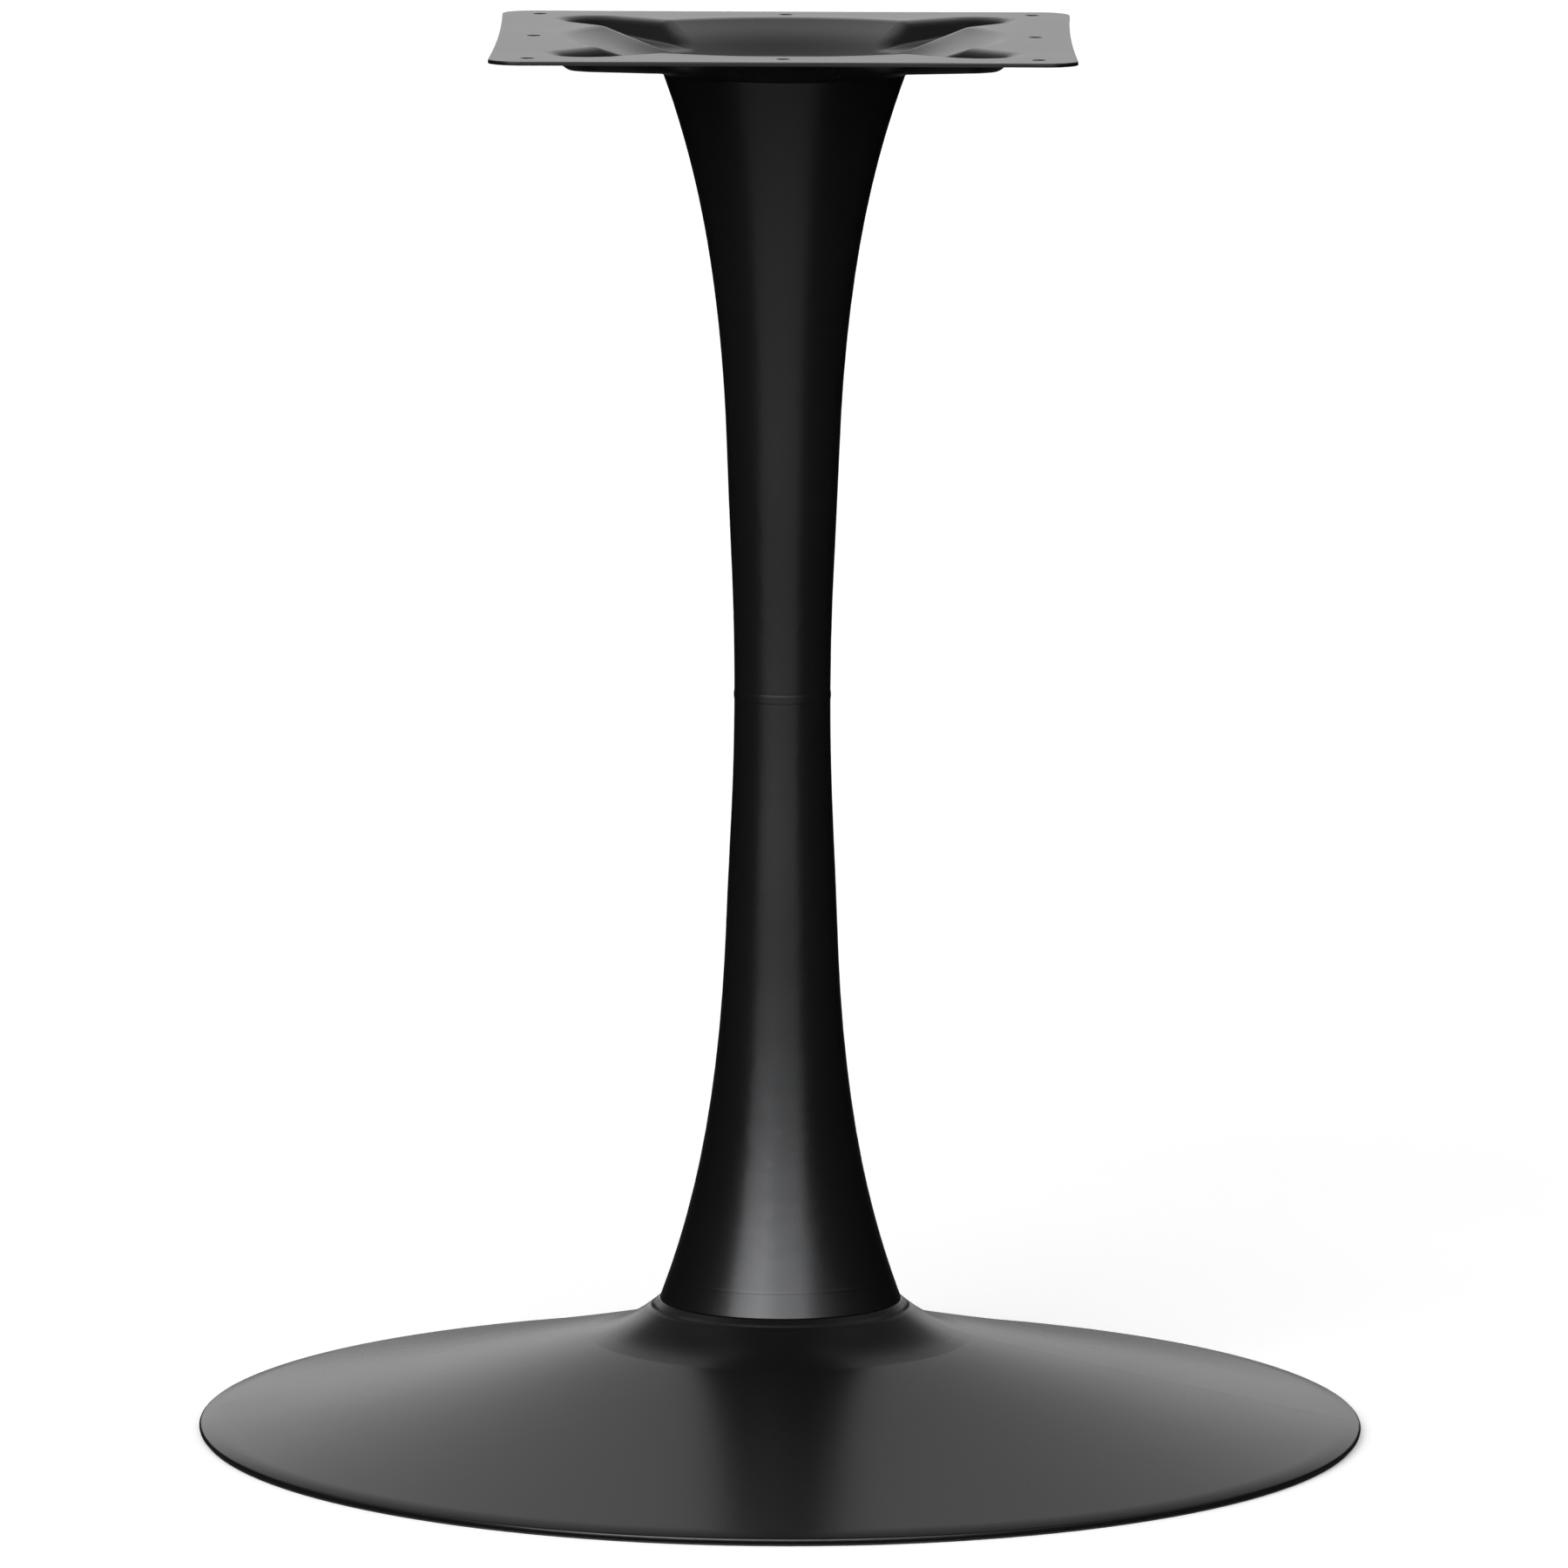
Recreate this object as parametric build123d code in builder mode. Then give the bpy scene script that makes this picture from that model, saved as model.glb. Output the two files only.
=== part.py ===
from build123d import *
import os
from math import atan2, cos, pi, radians, sin, tan

# Trumpet table base in millimetres. The floor is at Z 0 and the column stands on the Z axis.

# Whole base
height = 720.0                  # floor to the face that carries the table top

# Top plate, pressed from one sheet
plate_side = 295.0
plate_corner_radius = 16.0
plate_side_draw = 2.0           # how far the pressing draws each side in at its middle
plate_sheet = 2.0
plate_edge_round = 0.5
screw_inset = 20.0              # side of the plate to the screws at its corners and middles
screw_hole_diameter = 7.0

# Round dish in the middle of the plate, which carries the column
dish_depth = 16.0
dish_floor_margin = 1.4         # dish floor beyond the column's end
plate_border = 35.5             # side of the plate to the dish's mouth
dish_floor_bend = 8.0
crest_bend = 16.0               # bend where the dish and the grooves leave the flat

# Four grooves that run out of the dish towards the corners
groove_count = 4
groove_run = 28.5               # dish's mouth to the centre of a groove's round end
groove_end_depth = 7.1          # depth under the flat at that centre
groove_fall = 4.6               # slope of the groove's floor towards the dish, degrees
groove_floor_width = 15.0
groove_wall_angle = 35.0        # degrees from the flat
groove_floor_bend = 6.0

# Column, spun as two trumpets and welded at the waist
column_wall = 1.5
column_waist_diameter = 49.3
column_top_diameter = 124.2
column_foot_diameter = 124.6
column_waist_height = 382.5
column_end_round = 0.5
# Stations of the flare: share of the way from the waist to an end, share of the growth in radius
flare_stations = ((0.157, 0.024), (0.313, 0.083), (0.47, 0.141), (0.627, 0.26), (0.783, 0.474), (0.9, 0.72))
weld_bead_width = 5.0
weld_bead_height = 0.3

# Base disc, spun from one sheet
base_diameter = 600.0
base_sheet = 3.0
base_rim_height = 3.9           # floor to the upper corner of the rim
base_rim_round = 1.3
seat_height = 68.2              # floor to the seat of the column's foot
seat_margin = 0.3               # seat beyond the column's foot
spigot_height = 3.0             # step inside the foot, which centres the column
spigot_clearance = 1.5          # at the foot; the flare closes it to a tenth at the step's top
collar_angle = 39.3             # slope of the collar under the seat, degrees
collar_edge_round = 0.8
shoulder_diameter = 162.0       # where the collar would meet the dome without its fillet
shoulder_fillet = 79.0
dome_hollow = 1.0               # how far the dome sags under a straight cone

# Rubber ring under the rim
ring_inset = 2.0                # rim to the ring's outer side
ring_width = 14.0

# Ballast plate, clamped up under the dome
ballast_bottom = 16.0           # floor to its lower face
ballast_thickness = 14.0
ballast_inset = 118.0           # rim to its edge
nut_pocket_diameter = 56.0
nut_pocket_depth = 5.0

# Tie rod through the column, with a countersunk head in a clamp disc at the top
rod_diameter = 8.0
rod_clearance = 1.0             # in diameter, in the sheets and the ballast plate
rod_end_height = 4.0            # floor to the rod's lower end
rod_end_chamfer = 1.0
head_diameter = 15.0
head_socket_across = 5.0
head_socket_depth = 2.5
clamp_diameter = 50.0
clamp_thickness = 3.5
clamp_edge_round = 0.8

# Washers and nut at the foot
washer_diameter = 40.0
washer_thickness = 3.0
spring_washer_diameter = 14.8
spring_washer_thickness = 2.0
spring_washer_gap = 1.0
nut_across_flats = 13.0
nut_height = 6.8
nut_bevel_angle = 30.0          # degrees

# Depth of the stock that the plate's two faces are cut from, and how near two radii count as one
press_stock = dish_depth + 3 * plate_sheet
same_radius = 0.01

# Places that follow from the sizes above
screw_spacing = plate_side - 2 * screw_inset
dish_floor_diameter = column_top_diameter + 2 * dish_floor_margin
dish_mouth_diameter = plate_side - 2 * plate_border
groove_reach = dish_mouth_diameter / 2 + groove_run
dish_floor_height = height - dish_depth
column_top_height = dish_floor_height - plate_sheet
base_radius = base_diameter / 2
seat_radius = column_foot_diameter / 2 + seat_margin
spigot_radius = column_foot_diameter / 2 - column_wall - spigot_clearance
shoulder_radius = shoulder_diameter / 2
shoulder_height = seat_height - (shoulder_radius - seat_radius) * tan(radians(collar_angle))
rod_hole_radius = (rod_diameter + rod_clearance) / 2
ballast_top = ballast_bottom + ballast_thickness
washer_top = ballast_bottom + nut_pocket_depth
spring_washer_top = washer_top - washer_thickness
nut_top = spring_washer_top - spring_washer_thickness
clamp_top = dish_floor_height + clamp_thickness
head_depth = (head_diameter - rod_diameter) / 2


def plate_outline():
    """Square with rounded corners whose sides are drawn in a little."""
    half = plate_side / 2
    corners = ((half, -half), (half, half), (-half, half), (-half, -half))
    with BuildSketch() as outline:
        with BuildLine():
            for start, end in zip(corners, corners[1:] + corners[:1]):
                SagittaArc(start, end, plate_side_draw)
        make_face()
        fillet(outline.vertices(), plate_corner_radius)
    return outline.sketch


def groove_tool(depth_in):
    """What one groove takes out of a face that lies depth_in inside the sheet, along +X."""
    fall = radians(groove_fall)
    inward = Vector(-cos(fall), 0, -sin(fall))
    normal = Vector(-sin(fall), 0, cos(fall))
    end_centre = Vector(groove_reach, 0, -groove_end_depth) - normal * depth_in
    section_plane = Plane(origin=end_centre, x_dir=(0, -1, 0), z_dir=inward)
    half = groove_floor_width / 2 + depth_in * tan(radians(groove_wall_angle) / 2)
    rise = 2 * dish_depth
    wide = half + rise / tan(radians(groove_wall_angle))
    bend = groove_floor_bend + depth_in
    with BuildPart() as tool:
        with BuildSketch(section_plane) as section:
            with BuildLine():
                Polyline((-half, 0), (half, 0), (wide, rise), (-wide, rise), close=True)
            make_face()
            fillet(section.vertices().sort_by(Axis.Y)[:2], bend)
        extrude(amount=groove_reach - dish_floor_diameter / 2)
        with BuildSketch(section_plane) as half_section:
            with BuildLine():
                Polyline((0, 0), (half, 0), (wide, rise), (0, rise), close=True)
            make_face()
            fillet(half_section.vertices().sort_by_distance((half, 0))[0], bend)
        revolve(axis=Axis(end_centre, normal))
    return tool.part


def pressed_face(depth_in):
    """Stock under one face of the pressed sheet: 0 is its upper face, plate_sheet its lower one."""
    lean = atan2(dish_depth, (dish_mouth_diameter - dish_floor_diameter) / 2)
    growth = depth_in * tan(lean / 2)
    floor_radius = dish_floor_diameter / 2 + growth
    mouth_radius = dish_mouth_diameter / 2 + growth
    over = dish_depth
    with BuildPart() as stock:
        with BuildSketch(Plane.XY.offset(-depth_in)):
            if depth_in == 0:
                add(plate_outline())
            else:
                Rectangle(plate_side + depth_in, plate_side + depth_in)
        extrude(amount=depth_in - press_stock)
        with BuildSketch(Plane.XZ):
            with BuildLine():
                Polyline((0, -dish_depth - depth_in),
                         (floor_radius, -dish_depth - depth_in),
                         (mouth_radius + over / tan(lean), over - depth_in),
                         (0, over - depth_in), close=True)
            make_face()
        revolve(axis=Axis.Z, mode=Mode.SUBTRACT)
        tool = groove_tool(depth_in)
        for number in range(groove_count):
            add(tool.rotate(Axis.Z, (number + 0.5) * 360 / groove_count), mode=Mode.SUBTRACT)

        # Bends: the crest all round the mouth, the ridges between dish and grooves, and the floor
        flat = stock.faces().filter_by(Axis.Z).sort_by(Axis.Z)[-1]
        crest = flat.inner_wires()[0].edges()
        groove_inner = groove_reach - groove_floor_width
        ridges = stock.edges().filter_by(
            lambda edge: edge.geom_type in (GeomType.HYPERBOLA, GeomType.BSPLINE)
            and edge.center().Z < -depth_in
            and Vector(edge.center().X, edge.center().Y).length < groove_inner)
        floor_edge = stock.edges().filter_by(GeomType.CIRCLE).filter_by(
            lambda edge: abs(edge.radius - floor_radius) < same_radius)
        fillet(crest + ridges, crest_bend - depth_in)
        fillet(floor_edge, dish_floor_bend + depth_in)
    return stock.part


def column_profile(inset):
    """Points of the column's outline from foot to top, moved in by inset."""
    waist = column_waist_diameter / 2 - inset

    def half_points(end_radius, end_height):
        points = [(waist + share * (end_radius - inset - waist),
                   column_waist_height + way * (end_height - column_waist_height))
                  for way, share in flare_stations]
        return points + [(end_radius - inset, end_height)]

    lower = half_points(column_foot_diameter / 2, seat_height)
    upper = half_points(column_top_diameter / 2, column_top_height)
    return lower[::-1] + [(waist, column_waist_height)] + upper


def draw_base_outline(line):
    """Upper outline of the base disc's section, from the rod hole out to the rim."""
    spigot_top = seat_height + spigot_height
    Polyline((rod_hole_radius, spigot_top), (spigot_radius, spigot_top), (spigot_radius, seat_height),
             (seat_radius, seat_height), (shoulder_radius, shoulder_height))
    SagittaArc((shoulder_radius, shoulder_height), (base_radius, base_rim_height), -dome_hollow)
    shoulder = line.vertices().sort_by_distance((shoulder_radius, shoulder_height))[0]
    fillet(shoulder, shoulder_fillet)


# Top plate: what lies between the sheet's two faces
with BuildPart() as top_plate:
    add(pressed_face(0))
    add(pressed_face(plate_sheet), mode=Mode.SUBTRACT)
    with GridLocations(screw_spacing, screw_spacing, 2, 2):
        Hole(radius=screw_hole_diameter / 2, depth=press_stock)
    with PolarLocations(screw_spacing / 2, 4):
        Hole(radius=screw_hole_diameter / 2, depth=press_stock)
    Hole(radius=rod_hole_radius, depth=press_stock)
    border = top_plate.faces().filter_by(Axis.Z).sort_by(Axis.Z)[-1]
    fillet(border.outer_wire().edges(), plate_edge_round)
top_plate.part = Pos(0, 0, height) * top_plate.part
top_plate.part.label = "top_plate"

# Column
with BuildPart() as column:
    with BuildSketch(Plane.XZ):
        with BuildLine():
            outer = Spline(*column_profile(0))
            inner = Spline(*column_profile(column_wall))
            Line(outer @ 0, inner @ 0)
            Line(outer @ 1, inner @ 1)
        make_face()
    revolve(axis=Axis.Z)
    ends = column.edges().filter_by(GeomType.CIRCLE).group_by(Axis.Z)
    fillet([end.sort_by(SortBy.RADIUS)[-1] for end in (ends[0], ends[-1])], column_end_round)
    with BuildSketch(Plane.XZ):
        with BuildLine():
            bead_root = column_waist_diameter / 2 - column_wall / 2
            bead_side = column_waist_diameter / 2
            bead_low = column_waist_height - weld_bead_width / 2
            bead_high = column_waist_height + weld_bead_width / 2
            ThreePointArc((bead_side, bead_low), (bead_side + weld_bead_height, column_waist_height),
                          (bead_side, bead_high))
            Polyline((bead_side, bead_high), (bead_root, bead_high),
                     (bead_root, bead_low), (bead_side, bead_low))
        make_face()
    revolve(axis=Axis.Z)
column.part.label = "column"

# Section of the base disc's sheet
with BuildSketch() as disc_section:
    with BuildLine() as sheet_line:
        draw_base_outline(sheet_line)
        offset(amount=base_sheet, side=Side.RIGHT, kind=Kind.INTERSECTION)
    make_face()

# Section of the space under it, which the rubber ring and the ballast plate fill in part
with BuildSketch() as space_section:
    with BuildLine() as space_line:
        draw_base_outline(space_line)
        Polyline((base_radius, base_rim_height), (base_radius, 0), (rod_hole_radius, 0),
                 (rod_hole_radius, seat_height + spigot_height))
    make_face()
    add(disc_section.sketch, mode=Mode.SUBTRACT)

# Base disc
with BuildPart() as base_disc:
    with BuildSketch(Plane.XZ):
        add(disc_section.sketch)
    revolve(axis=Axis.Z)
    rounds = base_disc.edges().filter_by(GeomType.CIRCLE).filter_by(lambda edge: edge.is_closed)
    rims = rounds.sort_by(SortBy.RADIUS)[-2:]
    seat_edge = rounds.filter_by(lambda edge: abs(edge.radius - seat_radius) < same_radius)
    fillet(rims, base_rim_round)
    fillet(seat_edge, collar_edge_round)
base_disc.part.label = "base_disc"

# Rubber ring
with BuildPart() as floor_ring:
    with BuildSketch(Plane.XZ):
        add(space_section.sketch)
        with Locations((base_radius - ring_inset, 0)):
            Rectangle(ring_width, ballast_bottom, align=(Align.MAX, Align.MIN), mode=Mode.INTERSECT)
    revolve(axis=Axis.Z)
floor_ring.part.label = "floor_ring"

# Ballast plate, its edge cast to the dome, with a pocket for the washers and the nut
with BuildPart() as ballast_plate:
    with BuildSketch(Plane.XZ):
        add(space_section.sketch)
        with Locations((0, ballast_bottom)):
            Rectangle(base_radius - ballast_inset, ballast_thickness,
                      align=(Align.MIN, Align.MIN), mode=Mode.INTERSECT)
            Rectangle(nut_pocket_diameter / 2, nut_pocket_depth,
                      align=(Align.MIN, Align.MIN), mode=Mode.SUBTRACT)
    revolve(axis=Axis.Z)
ballast_plate.part.label = "ballast_plate"

# Clamp disc in the dish, countersunk for the rod's head
with BuildPart() as clamp_disc:
    with BuildSketch(Plane.XY.offset(dish_floor_height)):
        Circle(clamp_diameter / 2)
    extrude(amount=clamp_thickness)
    fillet(clamp_disc.edges().group_by(Axis.Z)[-1], clamp_edge_round)
    with Locations((0, 0, clamp_top)):
        CounterSinkHole(radius=rod_diameter / 2, counter_sink_radius=head_diameter / 2)
clamp_disc.part.label = "clamp_disc"

# Tie rod
with BuildPart() as tie_rod:
    with BuildSketch(Plane.XZ):
        with BuildLine():
            Polyline((0, rod_end_height), (rod_diameter / 2 - rod_end_chamfer, rod_end_height),
                     (rod_diameter / 2, rod_end_height + rod_end_chamfer),
                     (rod_diameter / 2, clamp_top - head_depth),
                     (head_diameter / 2, clamp_top), (0, clamp_top), close=True)
        make_face()
    revolve(axis=Axis.Z)
    with BuildSketch(Plane.XY.offset(clamp_top)):
        RegularPolygon(radius=head_socket_across / 2, side_count=6, major_radius=False)
    extrude(amount=-head_socket_depth, mode=Mode.SUBTRACT)
tie_rod.part.label = "tie_rod"

# Plain washer under the ballast plate
with BuildPart() as washer:
    with BuildSketch(Plane.XY.offset(spring_washer_top)):
        Circle(washer_diameter / 2)
        Circle(rod_hole_radius, mode=Mode.SUBTRACT)
    extrude(amount=washer_thickness)
washer.part.label = "washer"

# Split spring washer, pressed flat
with BuildPart() as spring_washer:
    with BuildSketch(Plane.XY.offset(nut_top)):
        Circle(spring_washer_diameter / 2)
        Circle(rod_hole_radius, mode=Mode.SUBTRACT)
        with Locations((spring_washer_diameter / 2, 0)):
            Rectangle(spring_washer_diameter, spring_washer_gap, mode=Mode.SUBTRACT)
    extrude(amount=spring_washer_thickness)
spring_washer.part.label = "spring_washer"

# Nut, its corners turned off on both faces
with BuildPart() as nut:
    with BuildSketch(Plane.XY.offset(nut_top - nut_height)):
        RegularPolygon(radius=nut_across_flats / 2, side_count=6, major_radius=False)
    extrude(amount=nut_height)
    with BuildSketch(Plane.XZ):
        with BuildLine():
            nut_corner = nut_across_flats / 2 / cos(pi / 6)
            nut_bottom = nut_top - nut_height
            bevel = (nut_corner - nut_across_flats / 2) * tan(radians(nut_bevel_angle))
            Polyline((rod_diameter / 2, nut_bottom), (nut_across_flats / 2, nut_bottom),
                     (nut_corner, nut_bottom + bevel), (nut_corner, nut_top - bevel),
                     (nut_across_flats / 2, nut_top), (rod_diameter / 2, nut_top), close=True)
        make_face()
    revolve(axis=Axis.Z, mode=Mode.INTERSECT)
nut.part.label = "nut"

pieces = (top_plate, column, base_disc, floor_ring, ballast_plate,
          clamp_disc, tie_rod, washer, spring_washer, nut)
os.makedirs("parts", exist_ok=True)
for piece in pieces:
    export_step(piece.part, f"parts/{piece.part.label}.step")
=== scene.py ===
import math

import bpy
from mathutils import Matrix

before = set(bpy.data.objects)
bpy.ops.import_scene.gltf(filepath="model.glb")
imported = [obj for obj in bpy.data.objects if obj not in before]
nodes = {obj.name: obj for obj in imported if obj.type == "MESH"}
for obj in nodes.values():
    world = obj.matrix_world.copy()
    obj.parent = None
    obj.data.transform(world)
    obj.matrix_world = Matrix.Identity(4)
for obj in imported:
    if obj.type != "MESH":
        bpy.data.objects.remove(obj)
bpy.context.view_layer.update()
scene = bpy.context.scene
scene.view_settings.view_transform = "Standard"


# Camera: where the photograph was taken from, in metres and degrees
camera_place = (0.0351, -6.4113, 1.2912)
camera_turn = 0.305
camera_rise = -8.475
camera_roll = 0.19

camera_data = bpy.data.cameras.new("photo_camera")
camera_data.sensor_width = 36.0
camera_data.lens = 290.27
camera_data.clip_end = 100.0
camera = bpy.data.objects.new("photo_camera", camera_data)
camera.location = camera_place
look = Matrix.Rotation(math.radians(camera_turn), 3, "Z")
look = look @ Matrix.Rotation(math.radians(90.0 + camera_rise), 3, "X")
look = look @ Matrix.Rotation(math.radians(camera_roll), 3, "Z")
camera.rotation_euler = look.to_euler()
scene.collection.objects.link(camera)
scene.camera = camera


# Node helpers
def new_material(name):
    material = bpy.data.materials.new(name)
    material.use_nodes = True
    tree = material.node_tree
    return material, tree, tree.nodes["Principled BSDF"]


def node(tree, kind, **inputs):
    made = tree.nodes.new(kind)
    for key, value in inputs.items():
        made.inputs[key.replace("_", " ")].default_value = value
    return made


def shade(tree, factor, colour, spread):
    """The colour, darker by the spread where the factor is 0 and lighter by it at 1."""
    mix = tree.nodes.new("ShaderNodeMix")
    mix.data_type = "RGBA"
    tree.links.new(factor, mix.inputs["Factor"])
    for socket, share in (("A", 1.0 - spread), ("B", 1.0 + spread)):
        mix.inputs[socket].default_value = (*[share * part for part in colour], 1.0)
    return mix.outputs["Result"]


def map_range(tree, value, low, high, to_low, to_high):
    ranged = tree.nodes.new("ShaderNodeMapRange")
    tree.links.new(value, ranged.inputs["Value"])
    numbers = {"From Min": low, "From Max": high, "To Min": to_low, "To Max": to_high}
    for name, number in numbers.items():
        ranged.inputs[name].default_value = number
    return ranged.outputs["Result"]


def ramp(tree, value, stops):
    """Brightness along the value, eased from stop to stop."""
    made = tree.nodes.new("ShaderNodeValToRGB")
    made.color_ramp.interpolation = "EASE"
    tree.links.new(value, made.inputs["Fac"])
    points = made.color_ramp.elements
    while len(points) < len(stops):
        points.new(0.5)
    for point, (place, grey) in zip(points, stops):
        point.position = place
        point.color = (grey, grey, grey, 1.0)
    return made.outputs["Color"]


def maths(tree, operation, first, second=0.0):
    made = tree.nodes.new("ShaderNodeMath")
    made.operation = operation
    for socket, value in zip(made.inputs, (first, second)):
        if isinstance(value, float):
            socket.default_value = value
        else:
            tree.links.new(value, socket)
    return made.outputs[0]


def line(tree, value, place, width, depth):
    """A fine soft-edged line at one value: below the surface where depth is negative."""
    off = maths(tree, "DIVIDE", maths(tree, "SUBTRACT", value, place), width)
    square = maths(tree, "MULTIPLY", off, off)
    fall = maths(tree, "EXPONENT", maths(tree, "MULTIPLY", square, -1.0))
    return maths(tree, "MULTIPLY", fall, depth)


def roll(tree, value, start, bend):
    """A surface that curves away beyond one value."""
    past = maths(tree, "MAXIMUM", maths(tree, "SUBTRACT", value, start), 0.0)
    return maths(tree, "MULTIPLY", maths(tree, "MULTIPLY", past, past), -bend)


# Relief too fine for the CAD, as heights in metres over the radius or the height
def disc_relief(tree, radius, height):
    """The crease round the collar, and the disc's edge rolled down to the rim."""
    crease = line(tree, radius, place=0.0668, width=0.0011, depth=-0.0003)
    edge = roll(tree, radius, start=0.288, bend=8.0)
    return maths(tree, "ADD", crease, edge)


def plate_relief(tree, radius, height):
    """The slight curve of the dish's wall."""
    return line(tree, radius, place=0.088, width=0.018, depth=0.0012)


def column_relief(tree, radius, height):
    """The weld ground nearly flush at the waist, and a faint ring from the forming of the foot."""
    weld = line(tree, height, place=0.3825, width=0.0017, depth=-0.0002)
    ring = line(tree, height, place=0.081, width=0.0006, depth=0.00004)
    return maths(tree, "ADD", weld, ring)


# Materials
def powder_coat(name, colour, roughness, relief):
    """Satin black powder coat: fine orange peel, and a slow unevenness in gloss and tone."""
    material, tree, shader = new_material(name)
    place = tree.nodes.new("ShaderNodeTexCoord").outputs["Object"]
    slow = node(tree, "ShaderNodeTexNoise", Scale=9.0, Detail=3.0)
    peel = node(tree, "ShaderNodeTexNoise", Scale=900.0, Detail=2.0)
    for noise in (slow, peel):
        tree.links.new(place, noise.inputs["Vector"])
    tone = shade(tree, slow.outputs["Fac"], colour, spread=0.2)
    gloss = map_range(tree, slow.outputs["Fac"], 0.0, 1.0, roughness - 0.03, roughness + 0.03)
    tree.links.new(tone, shader.inputs["Base Color"])
    tree.links.new(gloss, shader.inputs["Roughness"])

    split = tree.nodes.new("ShaderNodeSeparateXYZ")
    tree.links.new(place, split.inputs[0])
    x, y, height = split.outputs
    squares = maths(tree, "ADD", maths(tree, "MULTIPLY", x, x), maths(tree, "MULTIPLY", y, y))
    form = node(tree, "ShaderNodeBump", Strength=1.0, Distance=1.0)
    tree.links.new(relief(tree, maths(tree, "SQRT", squares), height), form.inputs["Height"])
    surface = node(tree, "ShaderNodeBump", Strength=0.25, Distance=0.00004)
    tree.links.new(peel.outputs["Fac"], surface.inputs["Height"])
    tree.links.new(form.outputs["Normal"], surface.inputs["Normal"])
    tree.links.new(surface.outputs["Normal"], shader.inputs["Normal"])
    return material


def grained(name, colour, roughness, metallic, scale, depth):
    """Rubber or bare metal, with one grain in its tone, gloss and surface."""
    material, tree, shader = new_material(name)
    place = tree.nodes.new("ShaderNodeTexCoord").outputs["Object"]
    grain = node(tree, "ShaderNodeTexNoise", Scale=scale, Detail=4.0)
    tree.links.new(place, grain.inputs["Vector"])
    tone = shade(tree, grain.outputs["Fac"], colour, spread=0.25)
    gloss = map_range(tree, grain.outputs["Fac"], 0.3, 0.7, roughness - 0.08, roughness + 0.08)
    tree.links.new(tone, shader.inputs["Base Color"])
    tree.links.new(gloss, shader.inputs["Roughness"])
    surface = node(tree, "ShaderNodeBump", Strength=0.5, Distance=depth)
    tree.links.new(grain.outputs["Fac"], surface.inputs["Height"])
    tree.links.new(surface.outputs["Normal"], shader.inputs["Normal"])
    shader.inputs["Metallic"].default_value = metallic
    return material


black = (0.0036, 0.0036, 0.0037)
column_tint = (0.96, 0.97, 1.0, 1.0)
coat_column = powder_coat("coat_column", black, 0.3, column_relief)
coat_column.node_tree.nodes["Principled BSDF"].inputs["Specular Tint"].default_value = column_tint
coat_disc = powder_coat("coat_disc", black, 0.27, disc_relief)
coat_plate = powder_coat("coat_plate", black, 0.27, plate_relief)
rubber = grained("ring_rubber", (0.02, 0.02, 0.02), 0.7, 0.0, scale=400.0, depth=0.0001)
cast = grained("cast_iron", (0.05, 0.05, 0.052), 0.65, 0.0, scale=220.0, depth=0.0004)
zinc = grained("bright_zinc", (0.3, 0.31, 0.33), 0.45, 1.0, scale=700.0, depth=0.00002)

finish = {
    "top_plate": coat_plate,
    "column": coat_column,
    "base_disc": coat_disc,
    "floor_ring": rubber,
    "ballast_plate": cast,
    "clamp_disc": zinc,
    "tie_rod": zinc,
    "washer": zinc,
    "spring_washer": zinc,
    "nut": zinc,
}
for name, material in finish.items():
    slots = nodes[name].data.materials
    slots.clear()
    slots.append(material)


# Floor: pale, with a little glow of its own for camera, glossy and transmission rays
reach = 60.0
floor_glow = 0.22


def quad(name, corners, material):
    mesh = bpy.data.meshes.new(name)
    mesh.from_pydata(corners, [], [(0, 1, 2, 3)])
    mesh.materials.append(material)
    made = bpy.data.objects.new(name, mesh)
    scene.collection.objects.link(made)
    return made


floor_material, tree, shader = new_material("pale_floor")
shader.inputs["Base Color"].default_value = (0.95, 0.95, 0.95, 1.0)
shader.inputs["Roughness"].default_value = 0.9
shader.inputs["Specular IOR Level"].default_value = 0.1
shader.inputs["Emission Color"].default_value = (1.0, 1.0, 1.0, 1.0)
ray = tree.nodes.new("ShaderNodeLightPath").outputs
seen = maths(tree, "ADD", ray["Is Camera Ray"], ray["Is Glossy Ray"])
seen = maths(tree, "MAXIMUM", seen, ray["Is Transmission Ray"])
tree.links.new(maths(tree, "MULTIPLY", seen, floor_glow), shader.inputs["Emission Strength"])
floor_corners = [(-reach, -reach, 0), (reach, -reach, 0), (reach, reach, 0), (-reach, reach, 0)]
quad("floor", floor_corners, floor_material)


# Light: a soft surround, dim overhead, with a large soft box high in front.
# Stops are (place, brightness): by the upward part of the direction, from 0 level to 1 overhead,
# and for box_sweep by the angle round from the front, in degrees, positive to the right.
surround = (
    (0.0, 1.0), (0.03, 0.9), (0.17, 0.9), (0.6, 0.5), (0.8, 0.26), (0.96, 0.06), (1.0, 0.06),
)
box_height = (
    (0.05, 0.0), (0.22, 0.22), (0.34, 0.62), (0.5, 1.0),
    (0.64, 1.0), (0.74, 0.3), (0.86, 0.3), (0.92, 0.0),
)
box_sweep = (
    (-64, 0.0), (-40, 0.85), (-20, 1.15), (-4, 0.65), (6, 0.65), (20, 0.6), (44, 0.0),
)
box_strength = 6.4
sweep_end = 70
left_share = 1.1
right_share = 0.9
dim_share = 0.8

world = bpy.data.worlds.new("studio")
scene.world = world
world.use_nodes = True
sky = world.node_tree
direction = sky.nodes.new("ShaderNodeTexCoord").outputs["Generated"]
split = sky.nodes.new("ShaderNodeSeparateXYZ")
sky.links.new(direction, split.inputs[0])
x, y, z = split.outputs

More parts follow.
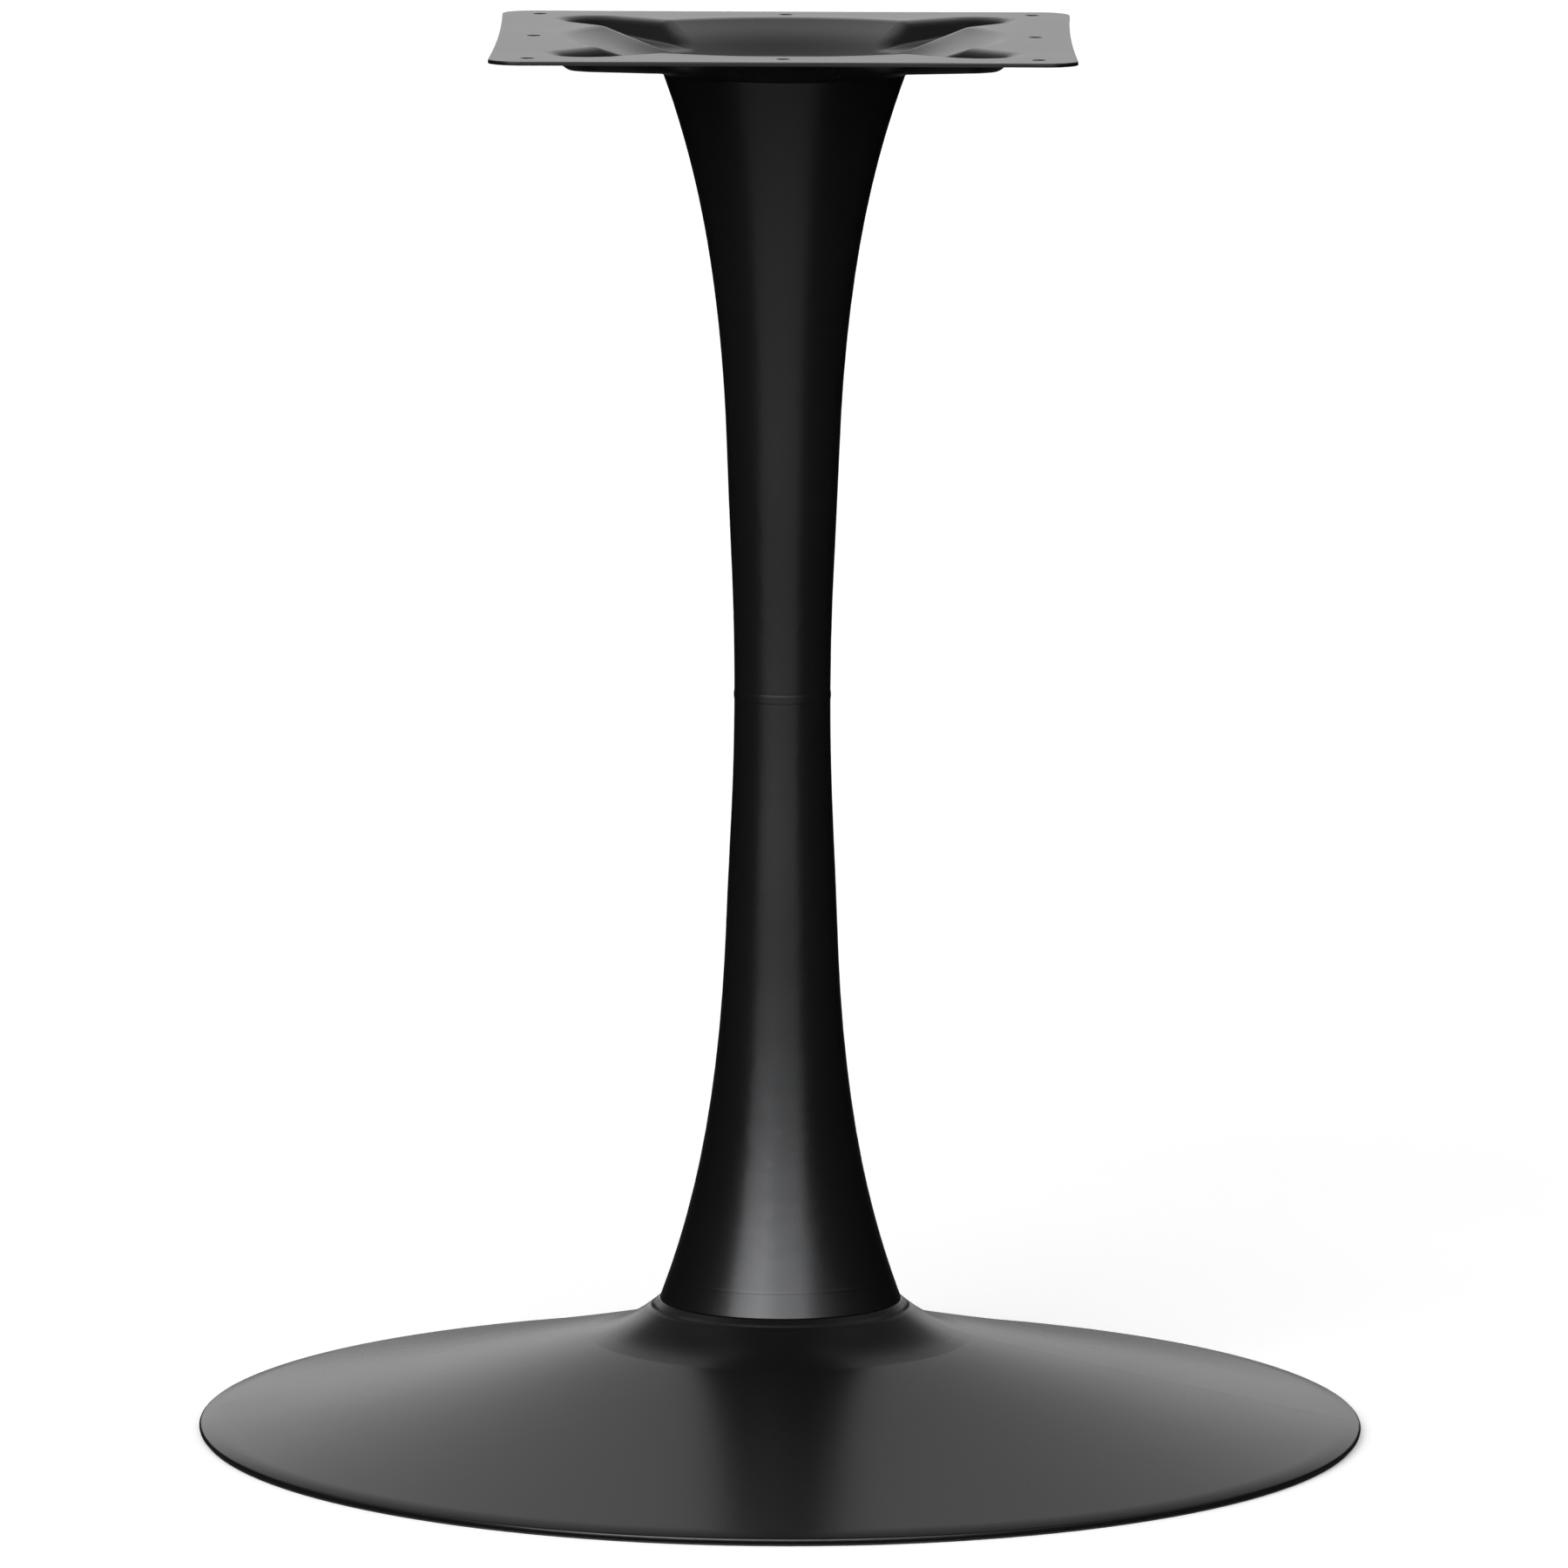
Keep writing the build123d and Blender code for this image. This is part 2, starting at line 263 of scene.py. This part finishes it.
# The soft box in front
sweep = maths(sky, "ARCTAN2", x, maths(sky, "MULTIPLY", y, -1.0))
front = map_range(sky, sweep, math.radians(-sweep_end), math.radians(sweep_end), 0.0, 1.0)
sweep_stops = [((angle + sweep_end) / (2 * sweep_end), grey) for angle, grey in box_sweep]
box = maths(sky, "MULTIPLY", ramp(sky, z, box_height), ramp(sky, front, sweep_stops))

# The surround, a little brighter on the left, and dimmed high behind on both sides,
# which the collar's sides and the plate's grooves mirror
sides = map_range(sky, x, -0.15, 0.15, left_share, right_share)
around = maths(sky, "MULTIPLY", ramp(sky, z, surround), sides)
aside = map_range(sky, maths(sky, "ABSOLUTE", x), 0.12, 0.3, 0.0, 1.0)
behind = map_range(sky, y, 0.3, 0.5, 0.0, 1.0)
high = map_range(sky, z, 0.26, 0.4, 0.0, dim_share)
dim = maths(sky, "MULTIPLY", maths(sky, "MULTIPLY", aside, behind), high)
around = maths(sky, "MULTIPLY", around, maths(sky, "SUBTRACT", 1.0, dim))

glow = maths(sky, "ADD", around, maths(sky, "MULTIPLY", box, box_strength))
sky.nodes["Background"].inputs["Color"].default_value = (1.0, 1.0, 1.0, 1.0)
sky.links.new(glow, sky.nodes["Background"].inputs["Strength"])


# Boards that only reflections see: they keep the sides of the column dark
def board(name, corners, grey):
    material, tree, shader = new_material(name)
    shader.inputs["Base Color"].default_value = (grey, grey, grey, 1.0)
    shader.inputs["Roughness"].default_value = 1.0
    shader.inputs["Specular IOR Level"].default_value = 0.0
    made = quad(name, corners, material)
    made.visible_camera = False
    made.visible_diffuse = False
    made.visible_shadow = False


# Boards that lie on the floor: name, grey, height, corners from above
floor_boards = (
    ("board_front", 0.42, 0.0003, [(-reach, -reach), (reach, -reach), (reach, -1), (-reach, -1)]),
    ("board_near", 0.27, 0.0003, [(-reach, -1), (reach, -1), (reach, -0.3), (-reach, -0.3)]),
    ("board_left", 0.0, 0.0004, [(-0.37, -0.33), (-59, -53), (-reach, reach), (-3, reach)]),
    ("board_right", 0.0, 0.0004, [(0.29, -0.41), (41, -59), (reach, reach), (3, reach)]),
    ("board_round", 0.05, 0.0005, [(-0.5, -0.5), (0.5, -0.5), (3, reach), (-3, reach)]),
)
for name, grey, height, corners in floor_boards:
    board(name, [(across, along, height) for across, along in corners], grey)

# Boards that stand beside the object: name, where across, and where their front edge is
wall_back = 9
wall_height = 1.25
for name, across, edge in (("board_wall_left", -2.2, -1.9), ("board_wall_right", 2.2, -3.1)):
    foot = [(across, edge, 0), (across, wall_back, 0)]
    head = [(across, wall_back, wall_height), (across, edge, wall_height)]
    board(name, foot + head, 0.0)
